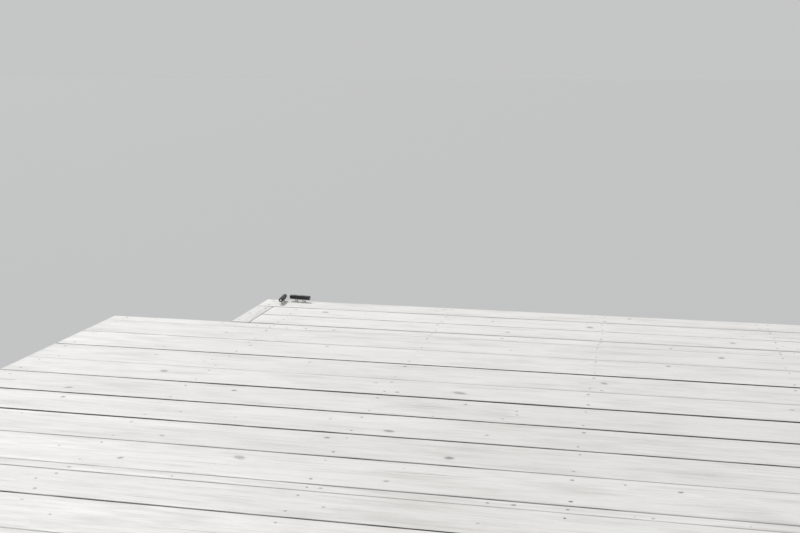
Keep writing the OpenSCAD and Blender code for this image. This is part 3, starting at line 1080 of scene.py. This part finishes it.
    def fill(self, bm, vert, outline, side):
        """Fills the face or the back with triangles, cuts its holes and cracks, and gives its rim."""
        height = self.crown if side == "face" else self.hollow
        detailed = side == "face" or self.style.heart
        screws = self.screws if side == "face" else []
        cracks = self.cracks[side]
        net = self.trace(outline, side, detailed)
        places, _, faces, sources, _, _ = delaunay_2d_cdt(net.spots, net.edges, [], 1, SAME_POINT)
        made, found = [], {}
        for (u, v), origins in zip(places, sources):
            stain_and_shade = max([net.stains_and_shades.get(i, 0.0) for i in origins] + [self.bolt_stain(u, v)])
            new = vert(u, v, height(u, v), self.knot_value(u, v) if detailed else 0.0, stain_and_shade)
            made.append(new)
            found.update({net.marks[i]: new for i in origins if i in net.marks})
        for face in faces:
            middle = sum((places[i] for i in face), Vector((0, 0))) / len(face)
            if not self.in_hole(middle, screws, cracks):
                bm.faces.new([made[i] for i in face])
        for n, (u, v) in enumerate(screws):
            mouth = [found["screw", n, i] for i in range(SCREW_SIDES)]
            sunk = height(u, v) - SCREW_HOLE_DEPTH
            floor = [vert(a, b, sunk, 0.0, 1.0) for a, b in circle(u, v, 0.9 * SCREW_HOLE_R, SCREW_SIDES)]
            bridge(bm, mouth, floor)
            bm.faces.new(floor)
        for n, stations in enumerate(cracks):
            self.cut_crack(bm, vert, n, stations, found, height, 1 if side == "face" else -1)
        return [found["edge", i] for i in range(len(outline))]

    @staticmethod
    def in_hole(point, screws, cracks):
        """Whether a point lies in a screw's hole or in a crack."""
        u, v = point
        if any((u - a) ** 2 + (v - b) ** 2 < (0.97 * SCREW_HOLE_R) ** 2 for a, b in screws):
            return True
        for stations in cracks:
            if stations[0][0] < u < stations[-1][0]:
                for (u0, v0, h0), (u1, v1, h1) in zip(stations, stations[1:]):
                    if u0 <= u <= u1:
                        t = (u - u0) / (u1 - u0)
                        if abs(v - (v0 + t * (v1 - v0))) < h0 + t * (h1 - h0):
                            return True
        return False

    def cut_crack(self, bm, vert, n, stations, found, height, way):
        """Closes a crack with two walls that meet deep in the wood."""
        last = len(stations) - 1
        count = 2 * last
        bottom = {}
        for i, (u, v, half) in enumerate(stations[1:-1], 1):
            deep = MM + self.style.crack_depth * min(1.0, half / (0.5 * MM))
            bottom[i] = vert(u, v, height(u, v) - way * deep, 0.0, CRACK_DIRT)
        for i in range(last):
            for a, b in ((i, i + 1), (count - i, count - i - 1)):
                corner = [found["crack", n, a % count], found["crack", n, b % count]]
                bm.faces.new(corner + [bottom[k] for k in (i + 1, i) if k in bottom])


# Fasteners

WASHER_R = 25 * MM
WASHER_T = 4 * MM
WASHER_EDGE = 0.7 * MM
WASHER_SIDES = 24
BOLT_R = 8 * MM
BOLT_EDGE = 1.5 * MM
BOLT_SIDES = 16
HEX_R = 13.9 * MM
HEX_EDGE = 1.6 * MM
HEX_SIDES = 6
NUT_H = 13 * MM
HEAD_H = 10 * MM
STUB = 8 * MM
BOLT_TILT = 0.02
LAG_WASHER_R = 12 * MM
LAG_WASHER_T = 2 * MM
LAG_WASHER_SIDES = 18
LAG_HEX_R = 7.5 * MM
LAG_H = 7.5 * MM
SCREW_FOOT_R = 2.6 * MM
SCREW_HEAD_T = 1.9 * MM
SCREW_EDGE = 0.25 * MM
RECESS_DEPTH = 1.5 * MM
LOBES = 6
LOBE_R_MM = 1.75
LOBE_WAVE_MM = 0.34


def add_turned(bm, place, out, profile, sides, turn=0.0):
    """A closed piece with a round or many-sided section. profile is (radius, height) from foot to top."""
    side = out.orthogonal().normalized()
    other = out.cross(side)
    rings = []
    for radius, height in profile:
        ring = []
        for i in range(sides):
            a = turn + 2 * math.pi * i / sides
            r = radius(a - turn) if callable(radius) else radius
            spot = place + out * height + side * (r * math.cos(a)) + other * (r * math.sin(a))
            ring.append(bm.verts.new(spot))
        rings.append(ring)
    for a, b in zip(rings, rings[1:]):
        bridge(bm, a, b)
    bm.faces.new(rings[-1])
    bm.faces.new(rings[0][::-1])


def blunt(radius, foot, top, inset, drop=None):
    """The profile of a piece whose top edge is cut off, by inset across and drop down."""
    return [(radius, foot), (radius, top - (drop or inset)), (radius - inset, top)]


def add_screw(bm, place, turn):
    """A countersunk screw with a six-lobed recess."""
    def lobes(a):
        return (LOBE_R_MM + LOBE_WAVE_MM * math.cos(LOBES * a)) * MM

    profile = [
        (SCREW_FOOT_R, -SCREW_HEAD_T), (SCREW_R, -0.15 * MM), (SCREW_R - SCREW_EDGE, 0.0),
        (lobes, -0.05 * MM), (lobes, -RECESS_DEPTH),
    ]
    add_turned(bm, place, axis(2), profile, 3 * LOBES, turn)


def add_bolt(bm, place, out, rng, end):
    """What shows of a through bolt: a washer, and a nut with the bolt's end in it, or else its head."""
    tilt = Vector([rng.uniform(-BOLT_TILT, BOLT_TILT) for _ in range(3)])
    out = (out + tilt).normalized()
    add_turned(bm, place, out, blunt(WASHER_R, -MM, WASHER_T, WASHER_EDGE), WASHER_SIDES)
    turn = rng.uniform(0, 1)
    top = WASHER_T + (NUT_H if end == "nut" else HEAD_H)
    foot = [(HEX_R - 1.4 * MM, WASHER_T - 0.5 * MM)]
    add_turned(bm, place, out, foot + blunt(HEX_R, WASHER_T + MM, top, HEX_EDGE), HEX_SIDES, turn)
    if end == "nut":
        tip = top + STUB * rng.uniform(0.5, 1.0)
        add_turned(bm, place, out, blunt(BOLT_R, WASHER_T, tip, BOLT_EDGE), BOLT_SIDES)


def add_lag(bm, place, out, rng):
    """A small hexagonal lag screw with its washer."""
    add_turned(bm, place, out, blunt(LAG_WASHER_R, -MM, LAG_WASHER_T, 0.5 * MM), LAG_WASHER_SIDES)
    add_turned(bm, place, out, blunt(LAG_HEX_R, MM, LAG_H, MM, 0.9 * MM), HEX_SIDES, rng.uniform(0, 1))


# Places of the bolts, from the frame: in a cap beam as (aside, share of its height), in a splice plate as
# (share of its length, rise), and lag screws at shares of the height of a header

CAP_BOLTS = ((-0.042, 0.70), (0.042, 0.32))
PLATE_BOLTS = ((-0.38, -0.022), (-0.16, 0.022), (0.16, -0.022), (0.38, 0.022))
LAG_SHARES = (0.26, 0.74)


def pile_places(node):
    return [middle_of(*box) for box in solid_boxes(node)]


def nearest(spots, place):
    return min(spots, key=lambda p: (p - place).to_2d().length)


def cap_bolts():
    """Two bolts through both cap beams at each pile, as (place, way out, end)."""
    found = []
    for caps, piles in zip(CAPS, PILES):
        low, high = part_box(caps)
        for x, _ in pile_places(piles):
            for aside, share in CAP_BOLTS:
                z = low.z + share * (high.z - low.z)
                found.append((Vector((x + aside, low.y, z)), -axis(1), "nut"))
                found.append((Vector((x + aside, high.y, z)), axis(1), "head"))
    return found


def brace_bolts():
    """One bolt through each end of each brace into its pile."""
    spots = [Vector((x, y, 0)) for node in PILES for x, y in pile_places(node)]
    found = []
    for node in BRACES:
        for lie in node_solids(node, lie_of_prism):
            way = max(range(2), key=lambda i: abs(lie.along[i]))
            outer = 1 if lie.out.dot(lie.origin - nearest(spots, lie.origin)) > 0 else -1
            w = lie.thick if outer > 0 else 0.0
            for end in (0.0, lie.length):
                there = lie.world(end, lie.width / 2, w)
                pile = nearest(spots, there)
                u = end + (pile[way] - there[way]) / lie.along[way]
                found.append((lie.world(u, lie.width / 2, w), lie.out * outer, "head"))
    return found


def plate_bolts():
    """Four bolts through each splice plate and its joist."""
    found = []
    lines = [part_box(node) for node in JOISTS]
    for low, high in solid_boxes("splice_plates"):
        middle = (low + high) / 2
        joist_low, joist_high = min(lines, key=lambda box: abs((box[0] + box[1]).x / 2 - middle.x))
        way = axis(0) if middle.x > joist_high.x else -axis(0)
        plate_x, joist_side_x = (high.x, joist_low.x) if way.x > 0 else (low.x, joist_high.x)
        for share, rise in PLATE_BOLTS:
            y = middle.y + share * (high.y - low.y)
            z = middle.z + rise
            found.append((Vector((plate_x, y, z)), way, "nut"))
            found.append((Vector((joist_side_x, y, z)), -way, "head"))
    return found


def lag_places():
    """Lag screws through the headers into the joist ends, as (place, way out)."""
    rows = []
    for node, way, lines in (("head_header", axis(1), joist_x[1:-1] + side_joist_x),
                             ("landward_header", -axis(1), joist_x)):
        low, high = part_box(node)
        y = high.y if way.y > 0 else low.y
        rows += [(x, y, low, high, way) for x in lines]
    outer = max(abs(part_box(JOISTS[-1])[1].x), abs(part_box(JOISTS[0])[0].x))
    for low, high in solid_boxes("step_headers"):
        way = axis(0) if low.x > 0 else -axis(0)
        rows.append((way.x * outer, middle_of(low, high)[1], low, high, way))
    return [(Vector((x, y, low.z + share * (high.z - low.z))), way)
            for x, y, low, high, way in rows for share in LAG_SHARES]


# The deck

SCREW_FROM_END = 12 * MM
SCREW_SUNK_MM = (0.1, 0.9)
EDGE_BOARD_SCREWS = (0.12, 0.5, 0.88)


def lay_boards(node, piece_name, lines, seed, style=PLANK, material="deck"):
    """Replaces the CAD planks of a node by detailed ones, with their screws."""
    bm, screws = bmesh.new(), bmesh.new()
    layers = layers_of(bm)
    for n, (low, high) in enumerate(solid_boxes(node)):
        lie = lie_of_plank(low, high)
        way = 0 if lie.along.x else 1
        own = [line - lie.origin[way] for line in lines]
        own = [u for u in own if SCREW_FROM_END < u < lie.length - SCREW_FROM_END]
        fills = {1: SEEN_FILL.get(n), -1: SEEN_FILL.get(n + 1)} if node == BAYS[0] else {}
        timber = Timber(lie, style, 1000 * seed + n, own, joints=joints_of(lie, low, high), fills=fills)
        timber.build(bm, layers)
        for u, v in timber.screws:
            sunk = timber.rng.uniform(*SCREW_SUNK_MM) * MM
            add_screw(screws, lie.world(u, v, timber.crown(u, v) - sunk), timber.rng.uniform(0, 1))
    make_piece(bm, piece_name, materials[material], [node])
    make_piece(screws, piece_name + "_screws", materials["screw"])


def joints_of(lie, low, high):
    """The width of the joint at each side of a plank, by its side (-1 or 1)."""
    way = 1 if lie.along.x else 0
    across = lie.out.cross(lie.along)[way]
    middle = (low + high) / 2
    joints = {}
    for side, edge in ((-1, low[way]), (1, high[way])):
        gaps = []
        for other_low, other_high in plank_boxes:
            gap = other_low[way] - edge if side > 0 else edge - other_high[way]
            level = other_low[1 - way] < middle[1 - way] < other_high[1 - way]
            if level and 0 < gap < WIDEST_JOINT:
                gaps.append(gap)
        if gaps:
            joints[side if across > 0 else -side] = min(gaps)
    return joints


def make_deck():
    for n, node in enumerate(BAYS, 1):
        lay_boards(node, node.replace("deck_planks", "boards"), joist_x, n)
    lay_boards("end_plank", "board_end", joist_x, 11, HEAD_PLANK_PAINTED_SHEEN)
    lay_boards("head_planks", "boards_head", joist_x[1:-1] + side_joist_x, 12, HEAD_PLANK_PAINTED_SHEEN)
    low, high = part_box("head_edge_boards")
    lines = [low.y + (high.y - low.y) * share for share in EDGE_BOARD_SCREWS]
    lay_boards("head_edge_boards", "boards_head_edge", lines, 13, material="edge")


# The framing

BOLT_SEED = 71


def dress_timbers(node, style, material, seed, bolts):
    """Replaces the prisms of one CAD node by detailed timbers."""
    bm = bmesh.new()
    layers = layers_of(bm)
    for n, lie in enumerate(node_solids(node, lie_of_prism)):
        Timber(lie, style, 100 * seed + n, bolts=bolts).build(bm, layers)
    make_piece(bm, "timber_" + node, materials[material], [node])


def make_framing():
    caps, braces, plates, lags = cap_bolts(), brace_bolts(), plate_bolts(), lag_places()
    spots = [bolt[0] for bolt in caps + braces + plates]
    for n, node in enumerate(JOISTS + HEADERS, 20):
        dress_timbers(node, BEAM, "joist", n, spots + [lag[0] for lag in lags])
    dress_timbers("splice_plates", BATTEN, "joist", 40, spots)
    for n, node in enumerate(CAPS, 50):
        dress_timbers(node, BEAM, "cap", n, spots)
    for n, node in enumerate(BRACES, 60):
        dress_timbers(node, BATTEN, "brace", n, spots)

    rng = random.Random(BOLT_SEED)
    for name, bolts in (("bolts_caps", caps), ("bolts_braces", braces), ("bolts_plates", plates)):
        bm = bmesh.new()
        for place, out, end in bolts:
            add_bolt(bm, place, out, rng, end)
        make_piece(bm, name, materials["bolt"])
    bm = bmesh.new()
    for place, out in lags:
        add_lag(bm, place, out, rng)
    make_piece(bm, "lag_screws", materials["bolt"])


# The log piles

LOG_COLUMNS = 64
LOG_RING_STEP = 20 * MM
LOG_SHY = 0.4 * MM
LOG_BROAD = 4.5 * MM
LOG_RIDGE = 1.6 * MM
LOG_PITH_SWAY = 0.012
LOG_CRACKS_AT = (0.3, 1.4, 2.5, 3.6, 4.7, 5.8)
LOG_CRACK_HALF_MM = (1.3, 3.2)
LOG_CRACK_DEPTH_MM = (14, 40)
LOG_CRACK_LENGTH = (0.45, 1.1)
LOG_CRACK_OFFSETS = (-1.7, -1.0, -0.4, 0.0, 0.4, 1.0, 1.7)
LOG_CRACK_ROOM = 0.075
LOG_CRACK_STAIN = 0.75
LOG_CRACK_STAIN_FROM = 9 * MM
LOG_KNOT_MM = (10, 24)
LOG_TOP_RINGS = (0.94, 0.8, 0.6, 0.4, 0.2)


def turn_between(a, b):
    """The angle from b to a, the short way round."""
    return (a - b + math.pi) % (2 * math.pi) - math.pi


class Log:
    """A round log inside the outline of its CAD solid. Heights in it are from its foot."""

    def __init__(self, low, high, seed):
        self.rng = random.Random(seed)
        rng = self.rng
        self.x, self.y = middle_of(low, high)
        self.foot_r, self.head_r = (high.y - low.y) / 2, (high.x - low.x) / 2
        self.z0, self.height = low.z, high.z - low.z
        self.phase = rng.uniform(0, 60)
        self.tone = rng.uniform(0.86, 1.12)
        self.twist = rng.uniform(-0.35, 0.35)
        self.cracks = [self.place_crack(at) for at in rng.sample(LOG_CRACKS_AT, rng.randint(2, 3))]
        self.knots = [self.place_knot() for _ in range(rng.randint(5, 9))]

    def place_crack(self, at):
        """A crack from the top down, at an angle round the log. length is a share of the log's."""
        rng = self.rng
        return SimpleNamespace(
            angle=at + rng.uniform(-0.3, 0.3), half=rng.uniform(*LOG_CRACK_HALF_MM) * MM,
            depth=rng.uniform(*LOG_CRACK_DEPTH_MM) * MM, length=rng.uniform(*LOG_CRACK_LENGTH),
        )

    def place_knot(self):
        rng = self.rng
        return SimpleNamespace(
            angle=rng.uniform(0, 2 * math.pi), height=rng.uniform(0.1, 0.95) * self.height,
            r=rng.uniform(*LOG_KNOT_MM) * MM,
        )

    def full_radius(self, z):
        """The radius of the CAD solid's cone at a height."""
        return self.foot_r + (self.head_r - self.foot_r) * z / self.height

    def lead(self, z):
        """How far the fibres, and with them the cracks, have turned at a height."""
        return self.twist * z / self.height + 0.03 * math.sin(5 * z + self.phase)

    def opening(self, crack, z):
        """How open a crack is, from 0 to 1. It is widest at the top."""
        return clamp((z / self.height - (1 - crack.length)) / 0.35)

    def columns(self):
        """The mesh's upright lines, with more of them at each crack, as (angle, crack or None, offset)."""
        fixed = []
        for crack in self.cracks:
            fixed += [(crack.angle % (2 * math.pi), crack, k) for k in LOG_CRACK_OFFSETS]
        plain = []
        for i in range(LOG_COLUMNS):
            a = 2 * math.pi * i / LOG_COLUMNS
            if all(abs(turn_between(a, b[0])) > LOG_CRACK_ROOM for b in fixed):
                plain.append((a, None, 0.0))
        return sorted(plain + fixed, key=lambda c: (c[0], c[2]))

    def radius(self, around, z):
        """The log's radius. around is the angle less the turn of the fibres, so that its ridges turn too."""
        full = self.full_radius(z)
        turn = Vector((math.cos(around), math.sin(around), 0))
        broad = 0.5 + 0.5 * noise.noise(turn * 0.8 + Vector((0, self.phase, z * 2.2)))
        ridge = 0.5 + 0.5 * noise.noise(turn * 7 + Vector((self.phase, 0, z * 3.0)))
        swell = 0.0
        for knot in self.knots:
            gap = turn_between(around, knot.angle)
            swell = max(swell, bell(gap * full, z - knot.height, 1.6 * knot.r))
        return full - LOG_SHY - (LOG_BROAD * broad + LOG_RIDGE * ridge) * (1 - swell)

    def place(self, column, z):
        """The surface's point on a column at a height."""
        around, crack, offset = column
        deep = 0.0
        if crack:
            open_now = self.opening(crack, z)
            around += offset * crack.half * (0.2 + 0.8 * open_now) / self.head_r
            deep = crack.depth * open_now * max(0.0, 1 - abs(offset)) ** 0.7
        a = around + self.lead(z)
        r = self.radius(around, z) - deep
        return self.x + r * math.cos(a), self.y + r * math.sin(a), self.z0 + z

    def build(self, bm):
        columns = self.columns()
        stations = round(self.height / LOG_RING_STEP)
        rings = []
        for i in range(stations + 1):
            z = self.height * i / stations
            rings.append([bm.verts.new(self.place(column, z)) for column in columns])
        top = [v.co.copy() for v in rings[-1]]
        for share in LOG_TOP_RINGS:
            inner = [(self.x + (p.x - self.x) * share, self.y + (p.y - self.y) * share, p.z) for p in top]
            rings.append([bm.verts.new(p) for p in inner])
        for a, b in zip(rings, rings[1:]):
            bridge(bm, a, b)
        bm.faces.new(rings[-1])
        bm.faces.new(rings[0][::-1])

    def dress(self, vert, layers):
        """The point values of a vertex of the finished log."""
        dx, dy, z = vert.co.x - self.x, vert.co.y - self.y, vert.co.z - self.z0
        pith_x = LOG_PITH_SWAY * math.sin(2.1 * z + self.phase)
        pith_y = LOG_PITH_SWAY * math.cos(1.7 * z + self.phase)
        r, around = math.hypot(dx, dy), math.atan2(dy, dx) - self.lead(z)
        full = self.full_radius(z)
        value = 0.0
        for knot in self.knots:
            away = math.hypot(turn_between(around, knot.angle) * full, z - knot.height)
            value = max(value, 1 - away / (KNOT_RINGS[-1] * knot.r))
        stain_and_shade = 0.0
        for crack in self.cracks:
            aside = abs(turn_between(around, crack.angle)) * full
            inside = aside < 1.1 * crack.half and full - r > LOG_CRACK_STAIN_FROM
            if inside and self.opening(crack, z) > 0:
                stain_and_shade = LOG_CRACK_STAIN
        vert[layers["grain"]] = (z + 3.1 * self.phase, dx - pith_x, dy - pith_y)
        vert[layers["tone"]] = self.tone
        vert[layers["knot"]] = value if r > 0.7 * full else 0.0
        vert[layers["stain_and_shade"]] = stain_and_shade


def cut_to(bm, node):
    """What a mesh has in common with a CAD node, such as a rough log with its sawn seats."""
    bmesh.ops.recalc_face_normals(bm, faces=bm.faces)
    meshes = [bpy.data.meshes.new("rough"), bpy.data.meshes.new("envelope")]
    bm.to_mesh(meshes[0])
    bm.free()
    envelope = welded(node)
    envelope.to_mesh(meshes[1])
    envelope.free()
    rough, cutter = [bpy.data.objects.new(mesh.name, mesh) for mesh in meshes]
    for thing in (rough, cutter):
        bpy.context.scene.collection.objects.link(thing)
    cut = rough.modifiers.new("cut", "BOOLEAN")
    cut.operation = "INTERSECT"
    cut.solver = "MANIFOLD"
    cut.object = cutter
    result = bmesh.new()
    result.from_object(rough, bpy.context.evaluated_depsgraph_get())
    for thing in (rough, cutter):
        bpy.data.objects.remove(thing)
    return result


def make_piles():
    for n, node in enumerate(PILES):
        logs = [Log(low, high, 10 * n + k) for k, (low, high) in enumerate(solid_boxes(node))]
        bm = bmesh.new()
        for log in logs:
            log.build(bm)
        bm = cut_to(bm, node)
        layers = layers_of(bm)
        for vert in bm.verts:
            log = min(logs, key=lambda g: abs(g.x - vert.co.x))
            log.dress(vert, layers)
        make_piece(bm, node.replace("piles", "logs"), materials["log"], [node])


# The mooring cleats

CLEAT_SEED = 83
CLEAT_SIDES = 40
TIP_EDGE = 4 * MM
TIP_STEPS = 4
TAPER_SHARES = (0.85, 0.7, 0.55, 0.4, 0.25, 0.1)
BAR_SHARES = (1.0, 0.67, 0.33)
DENT_DEPTH = 0.45 * MM
DENT_SCALE = 110
CORE_R = 5.2 * MM
CORE_SIDES = 24
CORE_RECESS = 1.6 * MM
CORE_SUNK = 0.5 * MM
CORE_LIP = 0.3 * MM
CORE_PLAY = 0.2 * MM
POST_R = 7.5 * MM
FLANGE_T = 3 * MM


def cleat_form(node):
    """Measures a cleat: its feet, which way its bar runs, and the bar's middle, half length and radii."""
    bm = welded(node)
    low, high = corners(bm.verts)
    soles = [v.co for v in bm.verts if v.co.z < low.z + WELD]
    middle = sum(soles, Vector()) / len(soles)
    reach = max((p - middle for p in soles), key=lambda d: d.length)
    halves = [[p for p in soles if side * (p - middle).dot(reach) > 0] for side in (-1, 1)]
    feet = [sum(half, Vector()) / len(half) for half in halves]
    along = (feet[1] - feet[0]).normalized()
    half_length = max((v.co - middle).dot(along) for v in bm.verts)
    tips = [v.co for v in bm.verts if (v.co - middle).dot(along) > half_length - TIP_EDGE]
    axis_z = (min(p.z for p in tips) + max(p.z for p in tips)) / 2
    form = SimpleNamespace(
        feet=feet, along=along, middle=Vector((middle.x, middle.y, axis_z)), half_length=half_length,
        bar_r=high.z - axis_z, tip_r=max(p.z for p in tips) - axis_z,
        flange_r=max((p - feet[1]).length for p in halves[1]),
    )
    bm.free()
    return form


def add_cleat_bar(bm, form, rng):
    """The bar, with rounded edges, a recess in each tip and the dents of use."""
    half = [(CORE_R, form.half_length - CORE_RECESS), (CORE_R + CORE_LIP, form.half_length - CORE_LIP)]
    for step in range(TIP_STEPS + 1):
        a = math.radians(90 * (1 - step / TIP_STEPS))
        half.append((form.tip_r - TIP_EDGE + TIP_EDGE * math.cos(a),
                     form.half_length - TIP_EDGE + TIP_EDGE * math.sin(a)))
    tip_at = half[-1][1]
    post_at = (form.feet[1] - form.feet[0]).length / 2
    for share in TAPER_SHARES:
        radius = form.bar_r + (form.tip_r - form.bar_r) * share
        half.append((radius, post_at + (tip_at - post_at) * share))
    half += [(form.bar_r, post_at * share) for share in BAR_SHARES]
    profile = [(r, -h) for r, h in half] + [(form.bar_r, 0.0)] + [(r, h) for r, h in half[::-1]]
    add_turned(bm, form.middle, form.along, profile, CLEAT_SIDES)
    phase = Vector((rng.uniform(0, 9), 0, 0))
    for vert in bm.verts:
        out = vert.co - form.middle
        out -= form.along * out.dot(form.along)
        if out.length > CORE_R + MM:
            dent = 0.5 + 0.5 * noise.noise(vert.co * DENT_SCALE + phase)
            vert.co -= out.normalized() * DENT_DEPTH * dent


def add_cleat_steel(bm, form):
    """The two posts with their flanges, and the ends of the steel core that show in the tips."""
    for foot in form.feet:
        rise = form.middle.z - foot.z
        r, t = form.flange_r, FLANGE_T
        profile = [
            (r, 0.0), (r, 0.6 * t), (r - 0.25 * t, 0.9 * t), (r - 0.6 * t, t),
            (POST_R + 1.5 * MM, t + 0.6 * MM), (POST_R + 0.4 * MM, t + 1.8 * MM), (POST_R, t + 3.5 * MM),
            (POST_R, rise - 6 * MM), (POST_R + 1.2 * MM, rise),
        ]
        add_turned(bm, foot, axis(2), profile, CLEAT_SIDES)
    top = form.half_length - CORE_SUNK
    for way in (form.along, -form.along):
        core = blunt(CORE_R - CORE_PLAY, top - 4 * MM, top, 0.7 * MM, 0.5 * MM)
        add_turned(bm, form.middle, way, core, CORE_SIDES)


def make_cleats():
    rng = random.Random(CLEAT_SEED)
    for node in [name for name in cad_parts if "cleat" in name]:
        form = cleat_form(node)
        bar, posts = bmesh.new(), bmesh.new()
        add_cleat_bar(bar, form, rng)
        add_cleat_steel(posts, form)
        make_piece(bar, "bar_of_" + node, materials["iron"], [node])
        make_piece(posts, "steel_of_" + node, materials["post"], [node])


make_camera()
make_light()
make_floor()
materials = make_materials()
make_deck()
make_framing()
make_piles()
make_cleats()
